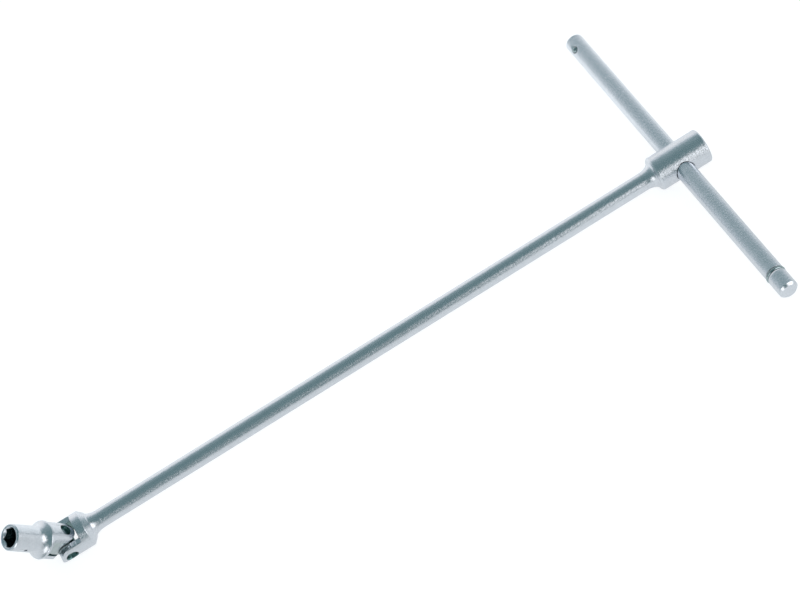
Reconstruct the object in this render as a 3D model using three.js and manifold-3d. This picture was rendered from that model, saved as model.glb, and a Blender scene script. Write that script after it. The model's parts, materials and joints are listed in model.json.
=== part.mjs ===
// Sliding T-handle socket wrench with a universal joint, in millimetres.
//
// The shaft runs along X with its socket end towards -X, the sliding bar runs along Y,
// and the wrench lies on a flat surface with +Z up. The joint has two forks, a link block
// between them, and two rivet pins that cross the block at right angles, one behind the
// other. It is drawn bent: the link leans over the shaft's pin, and the socket over its own.
import * as THREE from 'three';
import { mergeVertices } from 'three/addons/utils/BufferGeometryUtils.js';
import Module from 'manifold-3d';

const wasm = await Module();
wasm.setup();

const rad = THREE.MathUtils.degToRad;
const RIGHT_ANGLE = Math.PI / 2;

// ---------------------------------------------------------------- driving dimensions

const HEX_ACROSS_FLATS = 8.1; // an 8 mm socket with its working clearance
const SHAFT_LENGTH = 336; // from the shaft's joint pin to the axis of the sliding bar
const SHAFT_RADIUS = 4.5;
const WELD_GAP = 0.05; // where the head and the fork butt against the rod

const BAR_LENGTH = 200;
const BAR_RADIUS = 4.75;
const BAR_OFFSET = 1.5; // how far the bar is pushed through from its middle
const BAR_SPIN = -45; // turn of the bar about its own axis, which places the ball

const FORK_ROLL = 15; // turn of the shaft's fork about the shaft
const LINK_BEND = 58; // lean of the link block about the shaft's pin
const SOCKET_BEND = 6; // lean of the socket about its own pin

// T head: turned profile about the shaft's axis, measured from the bar's axis
const HEAD = {
  radius: 8.6,
  outerEnd: 14.5,
  innerEnd: -12,
  chamfer: 0.7,
  boreRadius: 4.95,
  neckRadius: 7.7,
  neckStart: -13,
  neckEnd: -19,
};

// Both forks of the joint, measured from their own pin
const FORK = {
  radius: 9,
  slotHalfWidth: 4.8,
  earHalfWidth: 5.1,
  holeRadius: 2.5,
  countersinkDepth: 1.5,
};
const SHAFT_FORK = {
  countersinkRadius: 3.2,
  slotDepth: 7.2,
  flatEnd: 7.5,
  runOutRadius: 1.2,
  shoulder: 11.5,
  coneEnd: 14,
  coneEndRadius: 6.5,
  end: 19.6,
};
const SOCKET = {
  countersinkRadius: 2.75,
  earRadius: 8.7,
  slotDepth: 6.8,
  flatEnd: 8.2,
  runOutRadius: 2.6,
  beadRadius: 8.95,
  beadRound: 0.9,
  beadMiddle: 8.9,
  flareRadius: 5, // concave, from the bead down to the nose
  noseRadius: 6.2,
  noseEnd: 27.4,
  noseChamfer: 0.5,
  recessDepth: 9,
  leadInRadius: 4.95,
  leadInDepth: 1.6,
  drillRadius: 3.9,
  drillDepth: 12,
  drillTip: 2,
  ventRadius: 0.8,
  ventFromEnd: 8,
  ventTurn: 78,
};

const LINK_HALF_WIDTH = 4.5;
const PIN_SPACING = 6; // the two pins pass each other by this much along the link
const PIN_RADIUS = 2.45;
const PIN_HALF_LENGTH = 7.3;
const PIN_CHAMFER = 0.4;
const LINK_HOLE_RADIUS = 2.55;

// Details of the sliding bar
const BAR_CHAMFER = 1.1;
const RING = {
  fromEnd: 11.5,
  grooveHalfWidth: 0.95,
  grooveRadius: 3.45,
  wireRadius: 0.75,
  middleRadius: 4.25,
  gapAngle: 40,
};
const BALL = {
  fromEnd: 8.5,
  radius: 1.6,
  middleHeight: 3.85,
  holeRadius: 1.8,
  holeFloor: -2.6,
};
const SPRING = { wireRadius: 0.22, coilRadius: 1.25, turns: 6, endGap: 0.05 };

const COLOURS = {
  chrome: 0xb9c2c8,
  steel: 0x6f7a7f,
};

// Faces around a turned surface, by the size of its radius
const SIDES = { body: 48, shaft: 36, pin: 32, pocket: 24, vent: 16 };
const OVERCUT = 1; // how far a cutter runs on past the surface that it opens

// ---------------------------------------------------------------- geometry helpers

/** A closed geometry as a manifold solid, with shared corners merged. */
function solidOf(geometry) {
  const bare = geometry.clone();
  bare.deleteAttribute('normal');
  bare.deleteAttribute('uv');
  const merged = mergeVertices(bare, 1e-4);
  const corners = merged.index.array;
  const triangles = [];
  for (let i = 0; i < corners.length; i += 3) {
    const [a, b, c] = corners.slice(i, i + 3);
    if (a !== b && b !== c && c !== a) {
      triangles.push(a, b, c);
    }
  }
  return new wasm.Manifold(new wasm.Mesh({
    numProp: 3,
    vertProperties: Float32Array.from(merged.attributes.position.array),
    triVerts: Uint32Array.from(triangles),
  }));
}

/** A manifold solid as a three.js geometry. */
function geometryOf(solid) {
  const mesh = solid.getMesh();
  const geometry = new THREE.BufferGeometry();
  geometry.setAttribute('position', new THREE.BufferAttribute(mesh.vertProperties, 3));
  geometry.setIndex(new THREE.BufferAttribute(mesh.triVerts, 1));
  geometry.computeVertexNormals();
  return geometry;
}

/** A solid turned about the X axis from [x, radius] points that run towards +X. */
function turned(profile, segments = SIDES.body) {
  const points = profile.map(([x, radius]) => new THREE.Vector2(radius, x));
  return new THREE.LatheGeometry(points, segments).rotateZ(-RIGHT_ANGLE);
}

/** Points [x, radius] along an arc about [x, radius] centre; angles are in degrees from +X. */
function arc([centreX, centreRadius], [radiusX, radiusY], fromAngle, toAngle, steps) {
  const points = [];
  for (let i = 0; i <= steps; i += 1) {
    const angle = rad(fromAngle + ((toAngle - fromAngle) * i) / steps);
    points.push([centreX + radiusX * Math.cos(angle), centreRadius + radiusY * Math.sin(angle)]);
  }
  return points;
}

/** An outline in the XZ plane, extruded along Y to halfDepth on both sides. */
function extrudedAlongY(shape, halfDepth, curveSegments = 8) {
  const settings = { depth: 2 * halfDepth, bevelEnabled: false, curveSegments };
  return new THREE.ExtrudeGeometry(shape, settings)
    .rotateX(RIGHT_ANGLE)
    .translate(0, halfDepth, 0);
}

/** A wire of round section along a curve. */
function wire(curve, radius, sides, steps) {
  const section = new THREE.Shape().absarc(0, 0, radius, 0, 2 * Math.PI);
  return new THREE.ExtrudeGeometry(section, {
    extrudePath: curve,
    steps,
    curveSegments: sides / 2,
    bevelEnabled: false,
  });
}

/** A part of a helix about the X axis, or a flat arc when its length is zero. */
class HelixCurve extends THREE.Curve {
  constructor(radius, startAngle, sweep, length) {
    super();
    Object.assign(this, { radius, startAngle, sweep, length });
  }

  getPoint(t) {
    const angle = this.startAngle + this.sweep * t;
    return new THREE.Vector3(
      this.length * t,
      this.radius * Math.cos(angle),
      this.radius * Math.sin(angle),
    );
  }
}

/** A named mesh in its own material. */
function part(name, geometry, colour, roughness) {
  const material = new THREE.MeshStandardMaterial({ color: colour, roughness, metalness: 1 });
  const mesh = new THREE.Mesh(geometry, material);
  mesh.name = name;
  return mesh;
}

// ---------------------------------------------------------------- T head and rod

/** The head: a round block with a cove down to the rod, cross-bored for the bar. */
function headGeometry() {
  const cove = arc(
    [HEAD.neckEnd, HEAD.neckRadius],
    [HEAD.neckStart - HEAD.neckEnd, HEAD.neckRadius - SHAFT_RADIUS],
    -90,
    0,
    6,
  );
  const block = solidOf(turned([
    [HEAD.neckEnd, 0],
    ...cove,
    [HEAD.innerEnd, HEAD.radius],
    [HEAD.outerEnd - HEAD.chamfer, HEAD.radius],
    [HEAD.outerEnd, HEAD.radius - HEAD.chamfer],
    [HEAD.outerEnd, 0],
  ]));
  const { boreRadius, radius } = HEAD;
  const bore = new THREE.CylinderGeometry(boreRadius, boreRadius, 4 * radius, SIDES.shaft);
  return geometryOf(block.subtract(solidOf(bore)));
}

/** The plain rod between the fork and the head. */
function rodGeometry() {
  const start = SHAFT_FORK.end + WELD_GAP;
  const end = SHAFT_LENGTH + HEAD.neckEnd - WELD_GAP;
  return turned([[start, 0], [start, SHAFT_RADIUS], [end, SHAFT_RADIUS], [end, 0]], SIDES.shaft);
}

// ---------------------------------------------------------------- universal joint

/**
 * The outline that is left of a fork seen along its pin: a full-round ear about the pin,
 * flat flanks, and a run-out into the whole round body.
 */
function earOutline(flatEnd, runOutRadius) {
  const half = FORK.earHalfWidth;
  const far = 2 * FORK.radius;
  const runOutStart = flatEnd - runOutRadius;
  const outline = new THREE.Shape();
  outline.absarc(0, 0, half, RIGHT_ANGLE, 3 * RIGHT_ANGLE, false);
  outline.absarc(runOutStart, -half - runOutRadius, runOutRadius, RIGHT_ANGLE, 0, true);
  outline.lineTo(flatEnd, -far);
  outline.lineTo(flatEnd + 2 * far, -far);
  outline.lineTo(flatEnd + 2 * far, far);
  outline.lineTo(flatEnd, far);
  outline.absarc(runOutStart, half + runOutRadius, runOutRadius, 0, -RIGHT_ANGLE, true);
  return outline;
}

/** The cutter for the pin's hole along Y, with a countersink at each end. */
function pinHoleCutter(countersinkRadius) {
  const sink = FORK.radius - FORK.countersinkDepth;
  const outside = FORK.radius + OVERCUT;
  return turned([
    [-outside, 0],
    [-outside, countersinkRadius],
    [-FORK.radius, countersinkRadius],
    [-sink, FORK.holeRadius],
    [sink, FORK.holeRadius],
    [FORK.radius, countersinkRadius],
    [outside, countersinkRadius],
    [outside, 0],
  ], SIDES.pin).rotateZ(RIGHT_ANGLE);
}

/** Cuts a fork, with its pin along Y at the origin, from a turned body towards +X. */
function forkSolid(profile, { slotDepth, flatEnd, runOutRadius, countersinkRadius }) {
  const reach = FORK.radius + OVERCUT;
  const ears = extrudedAlongY(earOutline(flatEnd, runOutRadius), reach);
  const slotLength = slotDepth + reach;
  const slot = new THREE.BoxGeometry(slotLength, 2 * FORK.slotHalfWidth, 4 * FORK.radius)
    .translate(slotDepth - slotLength / 2, 0, 0);
  return solidOf(turned(profile))
    .intersect(solidOf(ears))
    .subtract(solidOf(slot))
    .subtract(solidOf(pinHoleCutter(countersinkRadius)));
}

/** The shaft's fork: a round body with a cone and a fillet down to the rod. */
function shaftForkGeometry() {
  const { shoulder, coneEnd, coneEndRadius, end } = SHAFT_FORK;
  const fillet = arc(
    [end, coneEndRadius],
    [end - coneEnd, coneEndRadius - SHAFT_RADIUS],
    -180,
    -90,
    4,
  );
  return geometryOf(forkSolid([
    [-FORK.earHalfWidth - OVERCUT, 0],
    [-FORK.earHalfWidth - OVERCUT, FORK.radius],
    [shoulder, FORK.radius],
    ...fillet,
    [end, 0],
  ], SHAFT_FORK));
}

/** The hexagon recess, its lead-in cone and the drilled end below it, along X. */
function hexRecessSolid() {
  const cornerRadius = HEX_ACROSS_FLATS / 2 / Math.cos(rad(30));
  const floor = SOCKET.noseEnd - SOCKET.recessDepth;
  const mouth = SOCKET.noseEnd + OVERCUT;
  const hexagon = new THREE.CylinderGeometry(cornerRadius, cornerRadius, mouth - floor, 6)
    .rotateZ(-RIGHT_ANGLE)
    .translate((mouth + floor) / 2, 0, 0);
  const drillEnd = SOCKET.noseEnd - SOCKET.drillDepth;
  const leadInFloor = SOCKET.noseEnd - SOCKET.leadInDepth;
  const round = turned([
    [drillEnd - SOCKET.drillTip, 0],
    [drillEnd, SOCKET.drillRadius],
    [leadInFloor, SOCKET.drillRadius],
    [SOCKET.noseEnd, SOCKET.leadInRadius],
    [mouth, SOCKET.leadInRadius],
    [mouth, 0],
  ]);
  return solidOf(hexagon).add(solidOf(round));
}

/** The small vent hole drilled through the nose's wall at the foot of the recess. */
function ventSolid() {
  const length = SOCKET.noseRadius + OVERCUT;
  const hole = new THREE.CylinderGeometry(SOCKET.ventRadius, SOCKET.ventRadius, length, SIDES.vent)
    .translate(0, length / 2, 0)
    .rotateX(rad(SOCKET.ventTurn))
    .translate(SOCKET.noseEnd - SOCKET.ventFromEnd, 0, 0);
  return solidOf(hole);
}

/** The socket: nose with the hexagon, a rounded bead and the second fork. */
function socketGeometry() {
  const { beadRadius, beadMiddle, beadRound, flareRadius, noseRadius, noseEnd } = SOCKET;
  const beadCentre = [beadMiddle, beadRadius - beadRound];
  const flareRise = noseRadius + flareRadius - beadCentre[1];
  const flareReach = Math.sqrt((beadRound + flareRadius) ** 2 - flareRise ** 2);
  const flareCentre = [beadMiddle + flareReach, noseRadius + flareRadius];
  const meeting = THREE.MathUtils.radToDeg(Math.atan2(flareRise, flareReach));
  const backDrop = beadMiddle - SOCKET.flatEnd;
  const backStart = THREE.MathUtils.radToDeg(Math.acos(-backDrop / beadRound));
  const fork = forkSolid([
    [-FORK.earHalfWidth - OVERCUT, 0],
    [-FORK.earHalfWidth - OVERCUT, SOCKET.earRadius],
    [SOCKET.flatEnd, SOCKET.earRadius],
    ...arc(beadCentre, [beadRound, beadRound], backStart, meeting, 5),
    ...arc(flareCentre, [flareRadius, flareRadius], meeting + 180, 270, 5).slice(1),
    [noseEnd - SOCKET.noseChamfer, noseRadius],
    [noseEnd, noseRadius - SOCKET.noseChamfer],
    [noseEnd, 0],
  ], SOCKET);
  return geometryOf(fork.subtract(hexRecessSolid()).subtract(ventSolid()));
}

/** A rivet pin along Y, centred on the origin. */
function pinGeometry() {
  const edge = PIN_HALF_LENGTH - PIN_CHAMFER;
  return turned([
    [-PIN_HALF_LENGTH, 0],
    [-PIN_HALF_LENGTH, PIN_RADIUS - PIN_CHAMFER],
    [-edge, PIN_RADIUS],
    [edge, PIN_RADIUS],
    [PIN_HALF_LENGTH, PIN_RADIUS - PIN_CHAMFER],
    [PIN_HALF_LENGTH, 0],
  ], SIDES.pin).rotateZ(RIGHT_ANGLE);
}

/** A slab with one round end about the Y axis, running on towards +X to its square end. */
function roundEndedSlab(squareEnd) {
  const half = LINK_HALF_WIDTH;
  const outline = new THREE.Shape();
  outline.absarc(0, 0, half, RIGHT_ANGLE, 3 * RIGHT_ANGLE, false);
  outline.lineTo(squareEnd, -half);
  outline.lineTo(squareEnd, half);
  return extrudedAlongY(outline, half);
}

/** A round hole through the link along Y. */
function linkHole() {
  const length = 4 * LINK_HALF_WIDTH;
  return new THREE.CylinderGeometry(LINK_HOLE_RADIUS, LINK_HOLE_RADIUS, length, SIDES.pin);
}

/** The link block: round about the shaft's pin at one end and the socket's at the other. */
function linkGeometry() {
  const length = PIN_SPACING + LINK_HALF_WIDTH;
  const shaftEnd = solidOf(roundEndedSlab(length));
  const socketEnd = solidOf(
    roundEndedSlab(length).rotateX(RIGHT_ANGLE).rotateZ(Math.PI).translate(PIN_SPACING, 0, 0),
  );
  const shaftHole = solidOf(linkHole());
  const socketHole = solidOf(linkHole().rotateX(RIGHT_ANGLE).translate(PIN_SPACING, 0, 0));
  return geometryOf(shaftEnd.intersect(socketEnd).subtract(shaftHole).subtract(socketHole));
}

// ---------------------------------------------------------------- sliding bar

const RING_PLACE = -BAR_LENGTH / 2 + RING.fromEnd;
const BALL_PLACE = BAR_LENGTH / 2 - BALL.fromEnd;

/** The bar along X, with a groove near one end and a ball pocket near the other. */
function barGeometry() {
  const end = BAR_LENGTH / 2;
  const chamferStart = end - BAR_CHAMFER;
  const grooveStart = RING_PLACE - RING.grooveHalfWidth;
  const grooveEnd = RING_PLACE + RING.grooveHalfWidth;
  const bar = solidOf(turned([
    [-end, 0],
    [-end, BAR_RADIUS - BAR_CHAMFER],
    [-chamferStart, BAR_RADIUS],
    [grooveStart, BAR_RADIUS],
    [grooveStart, RING.grooveRadius],
    [grooveEnd, RING.grooveRadius],
    [grooveEnd, BAR_RADIUS],
    [chamferStart, BAR_RADIUS],
    [end, BAR_RADIUS - BAR_CHAMFER],
    [end, 0],
  ], SIDES.shaft));
  const depth = BAR_RADIUS + OVERCUT - BALL.holeFloor;
  const pocket = new THREE.CylinderGeometry(BALL.holeRadius, BALL.holeRadius, depth, SIDES.pocket)
    .rotateX(RIGHT_ANGLE)
    .translate(BALL_PLACE, 0, BALL.holeFloor + depth / 2);
  return geometryOf(bar.subtract(solidOf(pocket)));
}

/** The open wire ring that sits in the bar's groove. */
function ringGeometry() {
  const gap = rad(RING.gapAngle);
  const curve = new HelixCurve(RING.middleRadius, gap / 2, 2 * Math.PI - gap, 0);
  return wire(curve, RING.wireRadius, 10, 36);
}

/** The coil spring under the ball, standing on its pocket's floor along X. */
function springGeometry() {
  const room = BALL.middleHeight - BALL.radius - BALL.holeFloor;
  const length = room - 2 * (SPRING.wireRadius + SPRING.endGap);
  const curve = new HelixCurve(SPRING.coilRadius, 0, 2 * Math.PI * SPRING.turns, length);
  return wire(curve, SPRING.wireRadius, 6, 12 * SPRING.turns);
}

// ---------------------------------------------------------------- assembly

const socket = part('socket', socketGeometry().rotateX(RIGHT_ANGLE), COLOURS.chrome, 0.3);
const socketPin = part('socket_pin', pinGeometry(), COLOURS.steel, 0.4);
socketPin.rotation.x = RIGHT_ANGLE;

const socketGroup = new THREE.Group();
socketGroup.position.x = PIN_SPACING;
socketGroup.rotation.z = rad(SOCKET_BEND);
socketGroup.add(socket, socketPin);

const linkGroup = new THREE.Group();
linkGroup.rotation.y = Math.PI + rad(LINK_BEND);
linkGroup.add(part('joint_link', linkGeometry(), COLOURS.steel, 0.4), socketGroup);

const forkGroup = new THREE.Group();
forkGroup.rotation.x = rad(FORK_ROLL);
forkGroup.add(
  part('shaft_fork', shaftForkGeometry(), COLOURS.chrome, 0.3),
  part('shaft_pin', pinGeometry(), COLOURS.steel, 0.4),
  linkGroup,
);

const head = part('t_head', headGeometry(), COLOURS.chrome, 0.3);
head.position.x = SHAFT_LENGTH;

const ballGeometry = new THREE.SphereGeometry(BALL.radius, 20, 14);
const ball = part('detent_ball', ballGeometry, COLOURS.steel, 0.2);
ball.position.set(BALL_PLACE, 0, BALL.middleHeight);

const spring = part('detent_spring', springGeometry().rotateY(-RIGHT_ANGLE), COLOURS.steel, 0.4);
spring.position.set(BALL_PLACE, 0, BALL.holeFloor + SPRING.wireRadius + SPRING.endGap);

const ring = part('retaining_ring', ringGeometry(), COLOURS.steel, 0.3);
ring.position.x = RING_PLACE;

const spunBar = new THREE.Group();
spunBar.rotation.x = rad(BAR_SPIN);
spunBar.add(part('slide_bar', barGeometry(), COLOURS.chrome, 0.3), ball, spring, ring);

const barGroup = new THREE.Group();
barGroup.position.set(SHAFT_LENGTH, BAR_OFFSET, 0);
barGroup.rotation.z = RIGHT_ANGLE;
barGroup.add(spunBar);

// The origin is the middle of the wrench's box, on the surface that it lies on.
const wrench = new THREE.Group();
wrench.add(
  head,
  part('shaft_rod', rodGeometry(), COLOURS.chrome, 0.3),
  forkGroup,
  barGroup,
);
wrench.updateMatrixWorld(true);
const box = new THREE.Box3().setFromObject(wrench, true);
const middle = box.getCenter(new THREE.Vector3());
wrench.position.set(-middle.x, -middle.y, -box.min.z);

const group = new THREE.Group();
group.add(wrench);

export default group;
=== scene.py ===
"""Sliding T-handle wrench with a swivel socket: its visible pieces, materials and studio."""

import json
import math

import bmesh
import bpy
from mathutils import Matrix, Vector


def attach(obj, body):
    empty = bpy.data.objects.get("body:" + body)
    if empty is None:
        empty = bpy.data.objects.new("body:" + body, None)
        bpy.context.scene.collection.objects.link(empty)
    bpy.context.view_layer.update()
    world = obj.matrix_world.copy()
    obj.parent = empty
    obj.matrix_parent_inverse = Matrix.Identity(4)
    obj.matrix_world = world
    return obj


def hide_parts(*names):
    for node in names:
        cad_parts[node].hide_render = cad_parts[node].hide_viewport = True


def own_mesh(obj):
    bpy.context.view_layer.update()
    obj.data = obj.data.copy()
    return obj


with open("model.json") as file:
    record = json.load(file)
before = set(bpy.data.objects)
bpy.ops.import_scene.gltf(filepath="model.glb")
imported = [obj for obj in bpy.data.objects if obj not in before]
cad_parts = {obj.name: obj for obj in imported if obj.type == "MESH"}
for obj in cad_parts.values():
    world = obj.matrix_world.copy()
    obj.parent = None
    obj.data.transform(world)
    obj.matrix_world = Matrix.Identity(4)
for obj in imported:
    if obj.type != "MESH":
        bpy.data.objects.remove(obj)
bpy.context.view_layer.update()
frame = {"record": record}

# ---------------------------------------------------------------- dimensions, in millimetres

# A place along a fork or the socket is its distance from that fork's pin, and a place along
# the head is its distance from the bar's axis. The ball's heights are from the bar's axis.

MM = 0.001
HEX_ACROSS_FLATS = 8.1
SHAFT_LENGTH = 336.0  # from the fork's pin to the bar's axis
SHAFT_RADIUS = 4.5

HEAD = {
    "radius": 8.6,
    "outer_end": 14.5,
    "inner_end": -12.0,
    "chamfer": 0.7,
    "bore_radius": 4.95,
    "neck_radius": 7.7,
    "neck_start": -13.0,
    "neck_end": -19.0,
    "collar": 0.05,  # the plain stub past the cove, where the rod is joined
}
FORK = {
    "radius": 9.0,
    "slot_half_width": 4.8,
    "ear_half_width": 5.1,
    "hole_radius": 2.5,
    "countersink_depth": 1.5,
}
SHAFT_FORK = {
    "countersink_radius": 3.2,
    "slot_depth": 7.2,
    "flat_end": 7.5,
    "run_out_radius": 1.2,
    "shoulder": 11.5,
    "cone_end": 14.0,
    "cone_end_radius": 6.5,
    "end": 19.6,
}
SOCKET = {
    "countersink_radius": 2.75,
    "ear_radius": 8.7,
    "slot_depth": 6.8,
    "flat_end": 8.2,
    "run_out_radius": 2.6,
    "bead_radius": 8.95,
    "bead_round": 0.9,
    "bead_middle": 8.9,
    "flare_radius": 5.0,
    "nose_radius": 6.2,
    "nose_end": 27.4,
    "nose_chamfer": 0.5,
    "recess_depth": 9.0,
    "lead_in_radius": 4.95,
    "lead_in_depth": 1.6,
    "drill_radius": 3.9,
    "drill_depth": 12.0,
    "drill_tip": 2.0,
    "vent_radius": 0.8,
    "vent_from_end": 8.0,
    "vent_turn": 78.0,
}
LINK_HALF_WIDTH = 4.5
LINK_HOLE_RADIUS = 2.55
PIN_SPACING = 6.0
PIN_RADIUS = 2.45
PIN_HALF_LENGTH = 7.3
PIN_CHAMFER = 0.4
PIN_DOME = 0.25
PIN_CROWN = (0.06, 0.45)  # how far the dome falls over its crown, and the crown's share of the rim

BAR_LENGTH = 200.0
BAR_RADIUS = 4.75
BAR_CHAMFER = 1.1
RING = {
    "from_end": 11.5,
    "groove_half_width": 0.95,
    "groove_radius": 3.45,
    "wire_radius": 0.75,
    "middle_radius": 4.25,
    "gap_angle": 40.0,
    "steps": 120,
    "edge_chamfer": (0.8, 0.17),  # along the bar and towards its axis
}
BALL = {
    "from_end": 8.5,
    "radius": 1.6,
    "middle_height": 3.85,
    "hole_radius": 1.8,
    "hole_floor": -2.6,
    "mouth_radius": 2.6,
    "mouth_depth": 0.45,
}
SPRING = {"wire_radius": 0.22, "coil_radius": 1.25, "turns": 6, "turn_steps": 24, "end_gap": 0.05}

SIDES = 160  # faces around a large turned surface
SMALL_SIDES = 64  # faces around a pin, a pin hole or the ball
OVERCUT = 1.0  # how far a cutter runs on past the surface that it opens
EDGE = 0.16  # the rounding of a machined edge
WELD = 0.004  # corners that are nearer to each other than this become one
FLAT_ANGLE = 0.2  # faces that meet at less than this angle, in degrees, become one
EDGE_SHARE = 2.01  # a rounding takes up just under half of each line next to it

# ---------------------------------------------------------------- where the pieces are

joints = {joint["name"]: joint for joint in frame["record"]["behaviour"]["joints"]}
mounts = {mount["name"]: mount for mount in frame["record"]["mounts"]}


def placed(origin, x_axis, z_axis):
    """The matrix from a piece's own millimetres to the scene's metres."""
    x_axis = Vector(x_axis).normalized()
    y_axis = Vector(z_axis).cross(x_axis).normalized()
    z_axis = x_axis.cross(y_axis)
    turn = Matrix((x_axis, y_axis, z_axis)).transposed().to_4x4()
    return Matrix.Translation(Vector(origin)) @ turn @ Matrix.Scale(MM, 4)


shaft_pin_place = Vector(joints["link_hinge"]["pos_m"])
shaft_pin_axis = Vector(joints["link_hinge"]["axis"])
socket_pin_place = Vector(joints["socket_hinge"]["pos_m"])
socket_pin_axis = Vector(joints["socket_hinge"]["axis"])
along_shaft = Vector((1, 0, 0))
along_link = (socket_pin_place - shaft_pin_place).normalized()
along_socket = Vector(mounts["socket_rim"]["axis"])
along_bar = Vector(joints["bar_spin"]["axis"])
out_of_ball_pocket = Vector(joints["ball_press"]["axis"])
head_place = shaft_pin_place + along_shaft * SHAFT_LENGTH * MM

IN_SHAFT = placed(shaft_pin_place, along_shaft, along_shaft.cross(shaft_pin_axis))
IN_HEAD = placed(head_place, along_shaft, (0, 0, 1))
IN_LINK = placed(shaft_pin_place, along_link, along_link.cross(shaft_pin_axis))
IN_SOCKET = placed(socket_pin_place, along_socket, along_socket.cross(socket_pin_axis))
IN_BAR = placed(joints["bar_spin"]["pos_m"], along_bar, out_of_ball_pocket)

# ---------------------------------------------------------------- mesh helpers


def turned(profile, sides=SIDES):
    """A bmesh turned about the X axis from (x, radius) points that run towards +X."""
    bm = bmesh.new()
    rings = []
    for x, radius in profile:
        count = sides if radius > 1e-6 else 1
        angles = [2 * math.pi * i / count for i in range(count)]
        rings.append([bm.verts.new((x, radius * math.cos(a), radius * math.sin(a))) for a in angles])
    for first, second in zip(rings, rings[1:]):
        for i in range(sides):
            corners = [
                first[i % len(first)],
                first[(i + 1) % len(first)],
                second[(i + 1) % len(second)],
                second[i % len(second)],
            ]
            unique = list(dict.fromkeys(corners))
            if len(unique) > 2:
                bm.faces.new(unique)
    bmesh.ops.recalc_face_normals(bm, faces=bm.faces)
    return bm


def arc(centre, radii, from_angle, to_angle, steps):
    """(x, radius) points on an arc; angles are in degrees from +X."""
    points = []
    for i in range(steps + 1):
        angle = math.radians(from_angle + (to_angle - from_angle) * i / steps)
        points.append((centre[0] + radii[0] * math.cos(angle), centre[1] + radii[1] * math.sin(angle)))
    return points


def eased(profile, rounds, steps=5):
    """Rounds the corners of a profile; rounds gives a radius for each corner's index."""
    points = []
    for i, (x, radius) in enumerate(profile):
        if i not in rounds:
            points.append((x, radius))
            continue
        corner = Vector((x, radius))
        before = Vector(profile[i - 1]) - corner
        after = Vector(profile[i + 1]) - corner
        half_angle = before.angle(after) / 2
        room = min(before.length, after.length) / EDGE_SHARE
        setback = min(rounds[i] / math.tan(half_angle), room)
        inwards = (before.normalized() + after.normalized()).normalized()
        middle = corner + inwards * (setback / math.cos(half_angle))
        start = corner + before.normalized() * setback - middle
        end = corner + after.normalized() * setback - middle
        sweep = start.angle(end)
        side = 1 if start.x * end.y - start.y * end.x > 0 else -1
        for k in range(steps + 1):
            turn = Matrix.Rotation(side * sweep * k / steps, 2)
            points.append(tuple(middle + turn @ start))
    return points


def moved(bm, matrix):
    """Transforms a shape in place and hands it on."""
    bm.transform(matrix)
    return bm


def along_y(bm):
    """Turns a shape that lies along X to lie along Y."""
    return moved(bm, Matrix.Rotation(math.radians(90), 4, "Z"))


def upright(bm):
    """Turns a shape that lies along X to stand along Z."""
    return moved(bm, Matrix.Rotation(math.radians(-90), 4, "Y"))


def shifted(bm, along, height=0.0):
    """Moves a shape along X, and up if it has a height."""
    return moved(bm, Matrix.Translation((along, 0, height)))


def prism_along_y(outline, half_depth):
    """A closed outline of (x, z) points, extruded to half_depth on both sides."""
    bm = bmesh.new()
    near = [bm.verts.new((x, -half_depth, z)) for x, z in outline]
    far = [bm.verts.new((x, half_depth, z)) for x, z in outline]
    bm.faces.new(near)
    bm.faces.new(list(reversed(far)))
    for i in range(len(outline)):
        j = (i + 1) % len(outline)
        bm.faces.new((near[i], far[i], far[j], near[j]))
    bmesh.ops.recalc_face_normals(bm, faces=bm.faces)
    return bm


def block(size, middle):
    """A box with its sides along the axes."""
    bm = bmesh.new()
    bmesh.ops.create_cube(bm, size=1)
    return moved(bm, Matrix.Translation(middle) @ Matrix.Diagonal((*size, 1)))


def rod_between(radius, start, end, sides=SMALL_SIDES):
    """A plain round rod along X."""
    return turned([(start, 0), (start, radius), (end, radius), (end, 0)], sides)


def object_of(bm, name):
    """Puts a bmesh into the scene as an object and lets go of the bmesh."""
    mesh = bpy.data.meshes.new(name)
    bm.to_mesh(mesh)
    bm.free()
    obj = bpy.data.objects.new(name, mesh)
    bpy.context.scene.collection.objects.link(obj)
    return obj


def discard(obj):
    """Removes an object together with its mesh or curve."""
    data = obj.data
    store = bpy.data.meshes if isinstance(data, bpy.types.Mesh) else bpy.data.curves
    bpy.data.objects.remove(obj)
    store.remove(data)


def applied(obj):
    """The object's shape with its modifiers in it, as a bmesh; the object itself goes."""
    graph = bpy.context.evaluated_depsgraph_get()
    mesh = bpy.data.meshes.new_from_object(obj.evaluated_get(graph))
    discard(obj)
    bm = bmesh.new()
    bm.from_mesh(mesh)
    bpy.data.meshes.remove(mesh)
    return bm


def cut(bm, cutter, operation="DIFFERENCE"):
    """Takes the cutter out of a shape, or keeps what lies in both."""
    body = object_of(bm, "body")
    tool = object_of(cutter, "tool")
    boolean = body.modifiers.new("cut", "BOOLEAN")
    boolean.operation = operation
    boolean.solver = "EXACT"
    boolean.object = tool
    result = applied(body)
    discard(tool)
    bmesh.ops.remove_doubles(result, verts=result.verts, dist=WELD)
    return result


def beveled(bm, width=EDGE, angle=30, segments=3):
    """Rounds every edge that turns by more than angle, in degrees."""
    flat = math.radians(FLAT_ANGLE)
    bmesh.ops.dissolve_limit(
        bm, angle_limit=flat, verts=bm.verts, edges=bm.edges, delimit={"NORMAL"}
    )
    obj = object_of(bm, "body")
    bevel = obj.modifiers.new("bevel", "BEVEL")
    bevel.width = width
    bevel.segments = segments
    bevel.limit_method = "ANGLE"
    bevel.angle_limit = math.radians(angle)
    bevel.use_clamp_overlap = False
    bevel.miter_outer = "MITER_ARC"
    return applied(obj)


def remember_place(bm):
    """Keeps each corner's place in the shape's own units, for its material to read."""
    spots = bm.verts.layers.float_vector.new("place")
    for vert in bm.verts:
        vert[spots] = vert.co


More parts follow.
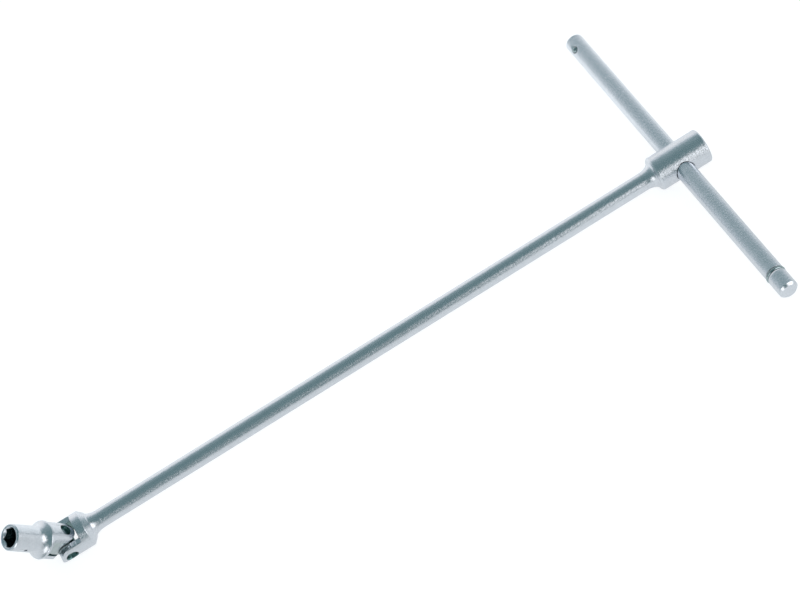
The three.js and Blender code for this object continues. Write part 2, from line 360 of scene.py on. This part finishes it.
def piece(name, bm, place, body, node, material, sharp=40):
    """A finished piece at its place that stands for a CAD node."""
    remember_place(bm)
    obj = object_of(moved(bm, place), name)
    obj.data.shade_smooth()
    obj.data.set_sharp_from_angle(angle=math.radians(sharp))
    obj.data.materials.append(material)
    smooth = obj.modifiers.new("even_shading", "WEIGHTED_NORMAL")
    smooth.keep_sharp = True
    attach(obj, body)
    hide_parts(node)
    return obj


# ---------------------------------------------------------------- materials

SKIN = 0.05  # how near to a surface a spot counts as on it, in millimetres
FLANK_SKIN = 0.12  # the same for a milled flank, with its rounded edges
# Painted shade: the dark green-grey colour painted into the pin holes, the slots and the hexagon,
# where shade falls.
PAINTED_SHADE_COLOUR = (0.15, 0.26, 0.26)
NOISE_RANGE = (0.3, 0.7)  # where most of a noise's values lie
TURNING_MARKS = (9.0, 0.5, 0.5)  # close together along the axis, long around it
CLOUD_SCALE = 0.35
SWELL_SCALE = 0.9
ROUGHNESS_SPREAD = 0.05
CUTTER_MARKS = {"Scale": 0.22, "Distortion": 0.8, "Detail": 1.0}
CUTTER_MARK_HEIGHT = 0.12


class Nodes:
    """A small helper that adds and links the nodes of one material or world."""

    def __init__(self, tree):
        self.tree = tree

    def add(self, kind, inputs=None, **settings):
        node = self.tree.nodes.new(kind)
        for key, value in settings.items():
            setattr(node, key, value)
        for key, value in (inputs or {}).items():
            socket = node.inputs[key]
            if isinstance(value, bpy.types.NodeSocket):
                self.tree.links.new(value, socket)
            else:
                socket.default_value = value
        return node

    def math(self, operation, *values):
        inputs = dict(enumerate(values))
        return self.add("ShaderNodeMath", inputs, operation=operation).outputs[0]

    def noise(self, vector, scale, detail=2.0, roughness=0.5):
        inputs = {"Vector": vector, "Scale": scale, "Detail": detail, "Roughness": roughness}
        return self.add("ShaderNodeTexNoise", inputs).outputs["Fac"]

    def ramp(self, value, stops):
        node = self.add("ShaderNodeValToRGB", {"Fac": value})
        elements = node.color_ramp.elements
        while len(elements) < len(stops):
            elements.new(0.5)
        for element, (position, colour) in zip(elements, stops):
            element.position = position
            element.color = (*colour, 1)
        return node.outputs["Color"]

    def between(self, value, low, high, to_low=0.0, to_high=1.0):
        inputs = {
            "Value": value,
            "From Min": low,
            "From Max": high,
            "To Min": to_low,
            "To Max": to_high,
        }
        return self.add("ShaderNodeMapRange", inputs).outputs[0]

    def mixed(self, factor, first, second):
        """A colour between first and second; sockets 0, 6 and 7 are the colour mix's own."""
        inputs = {0: factor, 6: first, 7: second}
        return self.add("ShaderNodeMix", inputs, data_type="RGBA").outputs[2]

    def scaled(self, vector, scale):
        return self.add("ShaderNodeVectorMath", {0: vector, 1: scale}, operation="MULTIPLY").outputs[0]

    def parted(self, vector):
        """A vector's X, Y and Z."""
        return self.add("ShaderNodeSeparateXYZ", {0: vector}).outputs


def off_axis(nodes, place, axis):
    """How far a spot is off an axis of the piece, in millimetres."""
    parts = nodes.parted(place)
    across = [parts[other] for other in "XYZ" if other != axis]
    squares = [nodes.math("MULTIPLY", value, value) for value in across]
    return nodes.math("SQRT", nodes.math("ADD", *squares))


def in_pin_hole(nodes, place, radius):
    """1 inside a fork's pin hole, 0 outside it."""
    return nodes.between(off_axis(nodes, place, "Y"), radius + SKIN, radius - SKIN)


def in_slot(nodes, place, depth):
    """1 on the walls and the floor of a fork's slot, 0 elsewhere."""
    parts = nodes.parted(place)
    aside = nodes.math("ABSOLUTE", parts["Y"])
    between_ears = nodes.math("LESS_THAN", aside, FORK["slot_half_width"] + SKIN)
    above_floor = nodes.math("LESS_THAN", parts["X"], depth + SKIN)
    return nodes.math("MULTIPLY", between_ears, above_floor)


def in_recess(nodes, place):
    """1 on the hexagon's flats and below them, 0 on the lead-in cone and on the outside."""
    along = nodes.parted(place)["X"]
    off = off_axis(nodes, place, "X")
    slope = (SOCKET["lead_in_radius"] - SOCKET["drill_radius"]) / SOCKET["lead_in_depth"]
    widening = nodes.math("MULTIPLY", nodes.math("SUBTRACT", along, SOCKET["nose_end"]), slope)
    cone_radius = nodes.math("ADD", widening, SOCKET["lead_in_radius"])
    past_cone = nodes.between(nodes.math("SUBTRACT", off, cone_radius), 0.4 * SKIN, 2 * SKIN)
    drill_tip = SOCKET["nose_end"] - SOCKET["drill_depth"] - SOCKET["drill_tip"]
    ahead_of_tip = nodes.math("GREATER_THAN", along, drill_tip - OVERCUT)
    inside = nodes.math("LESS_THAN", off, SOCKET["lead_in_radius"] - 2 * SKIN)
    return nodes.math("MULTIPLY", nodes.math("MULTIPLY", past_cone, inside), ahead_of_tip)


def shaded_socket_spots(nodes, place):
    """1 where the socket gets painted shade: its pin holes, its slot and its hexagon."""
    hole = in_pin_hole(nodes, place, SOCKET["countersink_radius"])
    slot = in_slot(nodes, place, SOCKET["slot_depth"])
    return nodes.math("MAXIMUM", nodes.math("MAXIMUM", hole, slot), in_recess(nodes, place))


def shaded_fork_spots(nodes, place):
    """1 where the shaft's fork gets painted shade: its pin holes and its slot."""
    hole = in_pin_hole(nodes, place, SHAFT_FORK["countersink_radius"] - 2 * SKIN)
    return nodes.math("MAXIMUM", hole, in_slot(nodes, place, SHAFT_FORK["slot_depth"]))


def milled_flats(nodes, place):
    """1 on a fork's two milled flanks, 0 elsewhere."""
    parts = nodes.parted(place)
    aside = nodes.math("ABSOLUTE", parts["Z"])
    from_flank = nodes.math("ABSOLUTE", nodes.math("SUBTRACT", aside, FORK["ear_half_width"]))
    flat = nodes.math("LESS_THAN", from_flank, FLANK_SKIN)
    return nodes.math("MULTIPLY", flat, nodes.math("LESS_THAN", parts["X"], SOCKET["flat_end"]))


def metal(name, colour, dark, roughness, grain=4.0, relief=0.02, wave=0.0, paint_shade_where=None, milled=None):
    """Plated or bare metal with a fine grain, faint turning marks and soft waves.

    The last two arguments are the functions that find the spots that get painted shade and the spots
    marked by a cutter.
    """
    material = bpy.data.materials.new(name)
    material.use_nodes = True
    nodes = Nodes(material.node_tree)
    shader = material.node_tree.nodes["Principled BSDF"]
    place = nodes.add("ShaderNodeAttribute", attribute_name="place").outputs["Vector"]

    speckle = nodes.noise(place, grain, detail=3.0, roughness=0.65)
    cloud = nodes.noise(place, CLOUD_SCALE, detail=3.0, roughness=0.55)
    rings = nodes.noise(nodes.scaled(place, TURNING_MARKS), 1.0, detail=2.0)

    tone = nodes.between(cloud, *NOISE_RANGE, 0.0, 0.5)
    tone = nodes.math("ADD", tone, nodes.between(speckle, *NOISE_RANGE, 0.0, 0.5))
    base = nodes.mixed(tone, (*dark, 1), (*colour, 1))
    # Painted shade: the base colour turns to the shade colour in the holes, slots and hexagon.
    if paint_shade_where:
        base = nodes.mixed(paint_shade_where(nodes, place), base, (*PAINTED_SHADE_COLOUR, 1))
    nodes.tree.links.new(base, shader.inputs["Base Color"])

    smoothest = roughness - ROUGHNESS_SPREAD
    roughest = roughness + ROUGHNESS_SPREAD
    rough = nodes.between(speckle, *NOISE_RANGE, smoothest, roughest)
    rough = nodes.math("ADD", rough, nodes.between(rings, 0.35, 0.65, -0.02, 0.02))
    nodes.tree.links.new(rough, shader.inputs["Roughness"])

    height = nodes.math("MULTIPLY", speckle, relief)
    height = nodes.math("ADD", height, nodes.math("MULTIPLY", rings, relief * 0.5))
    if wave:
        swell = nodes.noise(place, SWELL_SCALE, detail=1.0)
        height = nodes.math("ADD", height, nodes.math("MULTIPLY", swell, wave))
    if milled:
        cuts = nodes.add("ShaderNodeTexWave", {"Vector": place, **CUTTER_MARKS}).outputs["Fac"]
        cuts = nodes.math("MULTIPLY", cuts, milled(nodes, place))
        height = nodes.math("ADD", height, nodes.math("MULTIPLY", cuts, CUTTER_MARK_HEIGHT))
    bump = nodes.add("ShaderNodeBump", {"Height": height, "Strength": 1.0, "Distance": MM})
    nodes.tree.links.new(bump.outputs["Normal"], shader.inputs["Normal"])
    shader.inputs["Metallic"].default_value = 1.0
    return material


CHROME = {
    "colour": (0.76, 0.79, 0.84),
    "dark": (0.66, 0.70, 0.75),
    "roughness": 0.25,
    "grain": 2.4,
    "relief": 0.045,
    "wave": 0.06,
}
SATIN = metal("satin_chrome", **CHROME)
# The socket and the shaft's fork get painted shade in their pin holes, slots and hexagon.
SATIN_SOCKET = metal("satin_chrome_socket", paint_shade_where=shaded_socket_spots, milled=milled_flats, **CHROME)
SATIN_FORK = metal("satin_chrome_fork", paint_shade_where=shaded_fork_spots, milled=milled_flats, **CHROME)
STEEL = metal("bare_steel", (0.50, 0.58, 0.58), (0.34, 0.42, 0.42), 0.20)
LINK_STEEL = metal("link_steel", (0.56, 0.62, 0.63), (0.46, 0.52, 0.53), 0.28)
POLISHED = metal("polished_steel", (0.42, 0.50, 0.52), (0.34, 0.42, 0.44), 0.14)

# ---------------------------------------------------------------- T head and rod


def head():
    """The T head: a drum on a cove, bored across for the bar."""
    cove_length = HEAD["neck_start"] - HEAD["neck_end"]
    cove_height = HEAD["neck_radius"] - SHAFT_RADIUS
    cove_centre = (HEAD["neck_end"], HEAD["neck_radius"])
    cove = arc(cove_centre, (cove_length, cove_height), -90, 0, 24)
    start = HEAD["neck_end"] - HEAD["collar"]
    profile = [(start, 0), (start, SHAFT_RADIUS), *cove]
    first = len(profile)
    profile += [
        (HEAD["inner_end"], HEAD["radius"]),
        (HEAD["outer_end"] - HEAD["chamfer"], HEAD["radius"]),
        (HEAD["outer_end"], HEAD["radius"] - HEAD["chamfer"]),
        (HEAD["outer_end"], 0),
    ]
    rounds = {first: 0.25, first + 1: 0.3, first + 2: 0.2}
    bm = turned(eased(profile, rounds))
    bore = along_y(rod_between(HEAD["bore_radius"], -2 * HEAD["radius"], 2 * HEAD["radius"], 128))
    return beveled(cut(bm, bore), width=0.22)


def rod():
    """The plain shaft between the fork and the head's collar."""
    end = SHAFT_LENGTH + HEAD["neck_end"] - HEAD["collar"]
    return rod_between(SHAFT_RADIUS, SHAFT_FORK["end"], end, SIDES)


piece("t_head_fine", head(), IN_HEAD, "shaft", "t_head", SATIN)
piece("shaft_rod_fine", rod(), IN_SHAFT, "shaft", "shaft_rod", SATIN)

# ---------------------------------------------------------------- universal joint


def ear_outline(flat_end, run_out_radius):
    """What is left of a fork seen along its pin: a full-round ear, flanks and the body."""
    half = FORK["ear_half_width"]
    far = 2 * FORK["radius"]
    start = flat_end - run_out_radius
    lower = arc((start, -half - run_out_radius), (run_out_radius,) * 2, 90, 0, 10)
    upper = arc((start, half + run_out_radius), (run_out_radius,) * 2, 0, -90, 10)
    return [
        *arc((0, 0), (half, half), 90, 270, 64),
        *lower,
        (flat_end, -far),
        (flat_end + 2 * far, -far),
        (flat_end + 2 * far, far),
        (flat_end, far),
        *upper,
    ]


def pin_hole(countersink_radius):
    """The cutter for a fork's pin hole, countersunk at both ends."""
    sink = FORK["radius"] - FORK["countersink_depth"]
    outside = FORK["radius"] + OVERCUT
    return along_y(turned([
        (-outside, 0),
        (-outside, countersink_radius),
        (-FORK["radius"], countersink_radius),
        (-sink, FORK["hole_radius"]),
        (sink, FORK["hole_radius"]),
        (FORK["radius"], countersink_radius),
        (outside, countersink_radius),
        (outside, 0),
    ], SMALL_SIDES))


def fork(profile, size):
    """A turned blank with its ears shaped, its slot cut and its pin hole drilled."""
    reach = FORK["radius"] + OVERCUT
    length = size["slot_depth"] + reach
    slot = block(
        (length, 2 * FORK["slot_half_width"], 4 * FORK["radius"]),
        (size["slot_depth"] - length / 2, 0, 0),
    )
    ears = prism_along_y(ear_outline(size["flat_end"], size["run_out_radius"]), reach)
    bm = cut(turned(profile), ears, "INTERSECT")
    bm = cut(bm, slot)
    return cut(bm, pin_hole(size["countersink_radius"]))


def shaft_fork():
    """The shaft's fork, with its shoulder, its cone and the fillet down to the rod."""
    size = SHAFT_FORK
    start = -FORK["ear_half_width"] - OVERCUT
    fillet_length = size["end"] - size["cone_end"]
    fillet_height = size["cone_end_radius"] - SHAFT_RADIUS
    fillet_centre = (size["end"], size["cone_end_radius"])
    fillet = arc(fillet_centre, (fillet_length, fillet_height), -180, -90, 16)
    profile = [
        (start, 0),
        (start, FORK["radius"]),
        (size["shoulder"], FORK["radius"]),
        *fillet,
        (size["end"], 0),
    ]
    return beveled(fork(eased(profile, {2: 0.5, 3: 1.0}), size))


def hex_recess():
    """The cutters for the hexagon and for the drilled hole with its lead-in."""
    corner_radius = HEX_ACROSS_FLATS / 2 / math.cos(math.radians(30))
    floor = SOCKET["nose_end"] - SOCKET["recess_depth"]
    mouth = SOCKET["nose_end"] + OVERCUT
    hexagon = moved(
        rod_between(corner_radius, floor, mouth, 6),
        Matrix.Rotation(math.radians(30), 4, "X"),
    )
    drill_end = SOCKET["nose_end"] - SOCKET["drill_depth"]
    drill = turned([
        (drill_end - SOCKET["drill_tip"], 0),
        (drill_end, SOCKET["drill_radius"]),
        (SOCKET["nose_end"] - SOCKET["lead_in_depth"], SOCKET["drill_radius"]),
        (SOCKET["nose_end"], SOCKET["lead_in_radius"]),
        (mouth, SOCKET["lead_in_radius"]),
        (mouth, 0),
    ], 96)
    return hexagon, drill


def vent():
    """The cutter for the small hole through one side of the nose."""
    hole = along_y(rod_between(SOCKET["vent_radius"], 0, SOCKET["nose_radius"] + OVERCUT, 32))
    turn = Matrix.Rotation(math.radians(SOCKET["vent_turn"]), 4, "X")
    return shifted(moved(hole, turn), SOCKET["nose_end"] - SOCKET["vent_from_end"])


def socket():
    """The socket: its own fork, the bead, the flare and the nose with its hexagon."""
    size = SOCKET
    start = -FORK["ear_half_width"] - OVERCUT
    bead_round, flare = size["bead_round"], size["flare_radius"]
    bead_centre = (size["bead_middle"], size["bead_radius"] - bead_round)
    rise = size["nose_radius"] + flare - bead_centre[1]
    reach = math.sqrt((bead_round + flare) ** 2 - rise ** 2)
    flare_centre = (size["bead_middle"] + reach, size["nose_radius"] + flare)
    meeting = math.degrees(math.atan2(rise, reach))
    back_start = math.degrees(math.acos((size["flat_end"] - size["bead_middle"]) / bead_round))
    profile = [
        (start, 0),
        (start, size["ear_radius"]),
        (size["flat_end"], size["ear_radius"]),
        *arc(bead_centre, (bead_round, bead_round), back_start, meeting, 16),
        *arc(flare_centre, (flare, flare), meeting + 180, 270, 24)[1:],
        (size["nose_end"] - size["nose_chamfer"], size["nose_radius"]),
        (size["nose_end"], size["nose_radius"] - size["nose_chamfer"]),
        (size["nose_end"], 0),
    ]
    last = len(profile) - 1
    profile = eased(profile, {last - 2: 0.2, last - 1: 0.15})
    bm = fork(profile, size)
    for cutter in (*hex_recess(), vent()):
        bm = cut(bm, cutter)
    return beveled(bm, width=0.12)


def rivet():
    """A pin with the same low dome at both ends."""
    edge = PIN_HALF_LENGTH - PIN_DOME - PIN_CHAMFER
    rim = PIN_RADIUS - PIN_CHAMFER
    crown_drop, crown_share = PIN_CROWN
    half = [
        (edge, PIN_RADIUS),
        (edge + PIN_CHAMFER, rim),
        (PIN_HALF_LENGTH - crown_drop, rim * crown_share),
        (PIN_HALF_LENGTH, 0),
    ]
    profile = [(-x, radius) for x, radius in reversed(half)] + half
    rounds = {1: 1.5, 2: 0.3, 3: 0.15, 4: 0.15, 5: 0.3, 6: 1.5}
    return along_y(turned(eased(profile, rounds), SMALL_SIDES))


def round_ended_slab(square_end):
    """A slab along X, round about the Y axis at one end and square at the other."""
    half = LINK_HALF_WIDTH
    outline = [*arc((0, 0), (half, half), 90, 270, 48), (square_end, -half), (square_end, half)]
    return prism_along_y(outline, half)


def link():
    """The block between the forks: what two crossed slabs share, with a hole for each pin."""
    length = PIN_SPACING + LINK_HALF_WIDTH
    quarter = Matrix.Rotation(math.radians(90), 4, "X")
    to_socket_pin = Matrix.Translation((PIN_SPACING, 0, 0))
    half_turn = Matrix.Rotation(math.radians(180), 4, "Z")
    bm = cut(
        round_ended_slab(length),
        moved(round_ended_slab(length), to_socket_pin @ half_turn @ quarter),
        "INTERSECT",
    )
    reach = 2 * LINK_HALF_WIDTH
    hole = along_y(rod_between(LINK_HOLE_RADIUS, -reach, reach))
    cross_hole = moved(along_y(rod_between(LINK_HOLE_RADIUS, -reach, reach)), to_socket_pin @ quarter)
    return beveled(cut(cut(bm, hole), cross_hole))


piece("shaft_fork_fine", shaft_fork(), IN_SHAFT, "shaft", "shaft_fork", SATIN_FORK)
piece("shaft_pin_fine", rivet(), IN_SHAFT, "shaft", "shaft_pin", STEEL)
piece("joint_link_fine", link(), IN_LINK, "link", "joint_link", LINK_STEEL)
piece("socket_fine", socket(), IN_SOCKET, "swivel_socket", "socket", SATIN_SOCKET)
piece("socket_pin_fine", rivet(), IN_SOCKET, "swivel_socket", "socket_pin", STEEL)

# ---------------------------------------------------------------- sliding bar

RING_PLACE = -BAR_LENGTH / 2 + RING["from_end"]
BALL_PLACE = BAR_LENGTH / 2 - BALL["from_end"]


def bar():
    """The sliding bar, with the ring's groove and the ball's pocket."""
    end = BAR_LENGTH / 2
    groove_start = RING_PLACE - RING["groove_half_width"]
    groove_end = RING_PLACE + RING["groove_half_width"]
    chamfer_length, chamfer_depth = RING["edge_chamfer"]
    profile = [
        (-end, 0),
        (-end, BAR_RADIUS - BAR_CHAMFER),
        (BAR_CHAMFER - end, BAR_RADIUS),
        (groove_start - chamfer_length, BAR_RADIUS),
        (groove_start, BAR_RADIUS - chamfer_depth),
        (groove_start, RING["groove_radius"]),
        (groove_end, RING["groove_radius"]),
        (groove_end, BAR_RADIUS),
        (end - BAR_CHAMFER, BAR_RADIUS),
        (end, BAR_RADIUS - BAR_CHAMFER),
        (end, 0),
    ]
    rounds = {1: 0.2, 2: 0.3, 3: 0.1, 4: 0.1, 7: 0.22, 8: 0.3, 9: 0.2}
    bm = turned(eased(profile, rounds))
    top = BAR_RADIUS + OVERCUT
    mouth_floor = BAR_RADIUS - BALL["mouth_depth"]
    slope = (BALL["mouth_radius"] - BALL["hole_radius"]) / BALL["mouth_depth"]
    pocket = turned([
        (BALL["hole_floor"], 0),
        (BALL["hole_floor"], BALL["hole_radius"]),
        (mouth_floor, BALL["hole_radius"]),
        (top, BALL["hole_radius"] + slope * (top - mouth_floor)),
        (top, 0),
    ], SMALL_SIDES)
    return cut(bm, shifted(upright(pocket), BALL_PLACE))


def wire(points, radius, name, resolution):
    """A bmesh tube of round section along points."""
    curve = bpy.data.curves.new(name, "CURVE")
    curve.dimensions = "3D"
    curve.bevel_depth = radius
    curve.bevel_resolution = resolution
    curve.use_fill_caps = True
    spline = curve.splines.new("POLY")
    spline.points.add(len(points) - 1)
    for spot, point in zip(spline.points, points):
        spot.co = (*point, 1)
    obj = bpy.data.objects.new(name, curve)
    bpy.context.scene.collection.objects.link(obj)
    bm = applied(obj)
    bmesh.ops.remove_doubles(bm, verts=bm.verts, dist=WELD / 4)
    bmesh.ops.recalc_face_normals(bm, faces=bm.faces)
    return bm


def helix(radius, start, sweep, length, steps):
    """Points that turn about the X axis, from the start angle on, while they run along it."""
    points = []
    for i in range(steps + 1):
        angle = start + sweep * i / steps
        points.append((length * i / steps, radius * math.cos(angle), radius * math.sin(angle)))
    return points


def ring():
    """The open wire ring, with the middle of its gap on the bar's Y axis."""
    gap = math.radians(RING["gap_angle"])
    points = helix(RING["middle_radius"], gap / 2, 2 * math.pi - gap, 0, RING["steps"])
    return shifted(wire(points, RING["wire_radius"], "ring_wire", 6), RING_PLACE)


def spring():
    """The coil between the pocket's floor and the ball, with a small gap at both ends."""
    room = BALL["middle_height"] - BALL["radius"] - BALL["hole_floor"]
    margin = SPRING["wire_radius"] + SPRING["end_gap"]
    sweep = 2 * math.pi * SPRING["turns"]
    steps = SPRING["turn_steps"] * SPRING["turns"]
    points = helix(SPRING["coil_radius"], 0, sweep, room - 2 * margin, steps)
    coil = wire(points, SPRING["wire_radius"], "spring_wire", 3)
    return shifted(upright(coil), BALL_PLACE, BALL["hole_floor"] + margin)


def ball():
    """The detent ball at its free height."""
    outline = arc((0, 0), (BALL["radius"], BALL["radius"]), 180, 0, 32)
    return shifted(turned(outline, SMALL_SIDES), BALL_PLACE, BALL["middle_height"])


piece("slide_bar_fine", bar(), IN_BAR, "bar", "slide_bar", SATIN)
piece("retaining_ring_fine", ring(), IN_BAR, "ring", "retaining_ring", POLISHED)
piece("detent_ball_fine", ball(), IN_BAR, "ball", "detent_ball", POLISHED)
coil = piece("detent_spring_fine", spring(), IN_BAR, "bar", "detent_spring", STEEL)
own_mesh(coil)

# ---------------------------------------------------------------- studio

CAMERA_PLACE = shaft_pin_place + Vector((0.1235, -0.7193, 0.8553))
CAMERA_FORWARD = Vector((0.0599, 0.6513, -0.7565))
CAMERA_ROLL = math.radians(-27.8)
CAMERA_LENS = 108.0
SENSOR_WIDTH = 36.0

PANEL_CORE = 0.55  # the part of a panel's half width that glows evenly
PANEL_FADE = 1.5  # how quickly the glow falls off outside the core
FLOOR_HALF_WIDTH = 6.0
FLOOR_DROP = 0.0002  # keeps the floor just clear of the object's lowest edge
PAPER = {
    "grey": 0.4,
    "glow_seen": 0.8,  # as the camera sees it; the metal mirrors the rest
    "glow_beside": 0.58,
    "glow_behind": 0.80,
    "behind": (0.0, 0.06),  # where beside the shaft turns into behind it, in Y
    "front_loss": 0.3,  # what the glow loses in front of the shaft, towards the socket
    "front": (0.0, -0.12),  # where that loss sets in, in Y
    "front_side": (0.14, 0.02),  # and in X
    "end_loss": 0.13,  # what it loses past the head
    "end_side": (0.172, 0.21),  # where that sets in, in X
}
ROOM_TILT = -0.3  # the share of a direction's height that is added to its depth
ROOM_DEPTH = (-0.6, 1.0)  # the room's tones run from behind the camera to behind the object
ROOM_TONES = [
    (0.20, (0.165, 0.255, 0.27)),
    (0.53, (0.28, 0.37, 0.39)),
    (0.61, (0.20, 0.30, 0.32)),
    (0.635, (0.26, 0.36, 0.38)),
    (0.66, (0.46, 0.54, 0.58)),
    (0.71, (0.62, 0.68, 0.72)),
    (0.75, (0.66, 0.72, 0.76)),
    (0.79, (0.86, 0.89, 0.91)),
    (0.88, (1.0, 1.0, 1.0)),
]
ROOM_SEEN = (0.96, 0.97, 0.98, 1)

scene = bpy.context.scene
scene.view_settings.view_transform = "Standard"


def facing(place, direction):
    """The matrix of a camera or light at a place that looks in a direction."""
    turn = Vector(direction).to_track_quat("-Z", "Y").to_matrix().to_4x4()
    return Matrix.Translation(place) @ turn


def aimed(place, aim):
    """The matrix of a light at a place that looks at another place."""
    return facing(place, Vector(aim) - Vector(place))


def add_camera():
    """The camera, aimed by its forward direction and then rolled about it."""
    data = bpy.data.cameras.new("camera")
    data.sensor_width = SENSOR_WIDTH
    data.lens = CAMERA_LENS
    camera = bpy.data.objects.new("camera", data)
    camera.matrix_world = facing(CAMERA_PLACE, CAMERA_FORWARD) @ Matrix.Rotation(CAMERA_ROLL, 4, "Z")
    scene.collection.objects.link(camera)
    scene.camera = camera


def sheet(name, half_width, half_depth, material):
    """A flat staged sheet in the XY plane; its material reads a place from -1 to 1 on it."""
    bm = bmesh.new()
    bmesh.ops.create_grid(bm, x_segments=1, y_segments=1, size=1)
    remember_place(bm)
    obj = object_of(moved(bm, Matrix.Diagonal((half_width, half_depth, 1, 1))), name)
    obj.data.materials.append(material)
    return obj


def glow(name, strength):
    """The panel's cloth: brightest in the middle, fading over its margin."""
    material = bpy.data.materials.new(name)
    material.use_nodes = True
    nodes = Nodes(material.node_tree)
    parts = nodes.parted(nodes.add("ShaderNodeAttribute", attribute_name="place").outputs["Vector"])
    fade = 1.0
    for side in ("X", "Y"):
        edge = nodes.between(nodes.math("ABSOLUTE", parts[side]), 1.0, PANEL_CORE)
        fade = nodes.math("MULTIPLY", fade, nodes.math("POWER", edge, PANEL_FADE))
    light = nodes.add("ShaderNodeEmission", {"Strength": nodes.math("MULTIPLY", fade, strength)})
    output = material.node_tree.nodes["Material Output"]
    material.node_tree.links.new(light.outputs[0], output.inputs["Surface"])
    return material


def panel(name, place, aim, size, strength):
    """A softbox's front as a glowing sheet that faces its aim."""
    obj = sheet(name, size[0] / 2, size[1] / 2, glow(name, strength))
    obj.matrix_world = aimed(place, aim)
    obj.visible_camera = False


def softbox(name, place, aim, size, power):
    """A plain area light that metal does not mirror."""
    light = bpy.data.lights.new(name, "AREA")
    light.shape = "RECTANGLE"
    light.size, light.size_y = size
    light.energy = power
    obj = bpy.data.objects.new(name, light)
    obj.matrix_world = aimed(place, aim)
    obj.visible_camera = False
    obj.visible_glossy = False
    scene.collection.objects.link(obj)


def paper():
    """Matt white paper that glows a little, more behind the wrench and less in front of it."""
    material = bpy.data.materials.new("paper")
    material.use_nodes = True
    nodes = Nodes(material.node_tree)
    shader = material.node_tree.nodes["Principled BSDF"]
    shader.inputs["Base Color"].default_value = (*[PAPER["grey"]] * 3, 1)
    shader.inputs["Roughness"].default_value = 1.0
    shader.inputs["Specular IOR Level"].default_value = 0.0
    shader.inputs["Emission Color"].default_value = (0.98, 0.99, 1.0, 1)

    parts = nodes.parted(nodes.add("ShaderNodeTexCoord").outputs["Object"])
    x, y = parts["X"], parts["Y"]
    mirrored = nodes.between(y, *PAPER["behind"], PAPER["glow_beside"], PAPER["glow_behind"])
    in_front = nodes.between(y, *PAPER["front"])
    to_socket = nodes.between(x, *PAPER["front_side"], 0.0, PAPER["front_loss"])
    mirrored = nodes.math("SUBTRACT", mirrored, nodes.math("MULTIPLY", in_front, to_socket))
    past_head = nodes.between(x, *PAPER["end_side"], 0.0, PAPER["end_loss"])
    mirrored = nodes.math("SUBTRACT", mirrored, past_head)
    seen = nodes.add("ShaderNodeLightPath").outputs["Is Camera Ray"]
    strength = nodes.add("ShaderNodeMix", {0: seen, 2: mirrored, 3: PAPER["glow_seen"]}).outputs[0]
    nodes.tree.links.new(strength, shader.inputs["Emission Strength"])
    return material


def paper_floor():
    """The sheet of paper that the wrench lies on."""
    floor = sheet("floor", FLOOR_HALF_WIDTH, FLOOR_HALF_WIDTH, paper())
    floor.location.z = -FLOOR_DROP


def studio_world():
    """Pale behind the object, darker overhead and behind the camera."""
    world = bpy.data.worlds.new("studio")
    scene.world = world
    world.use_nodes = True
    nodes = Nodes(world.node_tree)
    background = world.node_tree.nodes["Background"]
    direction = nodes.parted(nodes.add("ShaderNodeTexCoord").outputs["Generated"])
    lean = nodes.math("MULTIPLY", direction["Z"], ROOM_TILT)
    depth = nodes.math("ADD", direction["Y"], lean)
    room = nodes.ramp(nodes.between(depth, *ROOM_DEPTH), ROOM_TONES)
    seen = nodes.add("ShaderNodeLightPath").outputs["Is Camera Ray"]
    colour = nodes.mixed(seen, room, ROOM_SEEN)
    world.node_tree.links.new(colour, background.inputs["Color"])


add_camera()
panel("right_panel", (1.08, -1.04, 0.64), (0, 0, 0.64), (2.2, 1.8), 1.9)
panel("left_panel", (-1.2, -1.53, 0.50), (0, 0, 0), (1.6, 1.4), 1.9)
softbox("top_softbox", (0, 0, 1.8), (0, 0, 0), (2.5, 2.5), 14)
paper_floor()
studio_world()
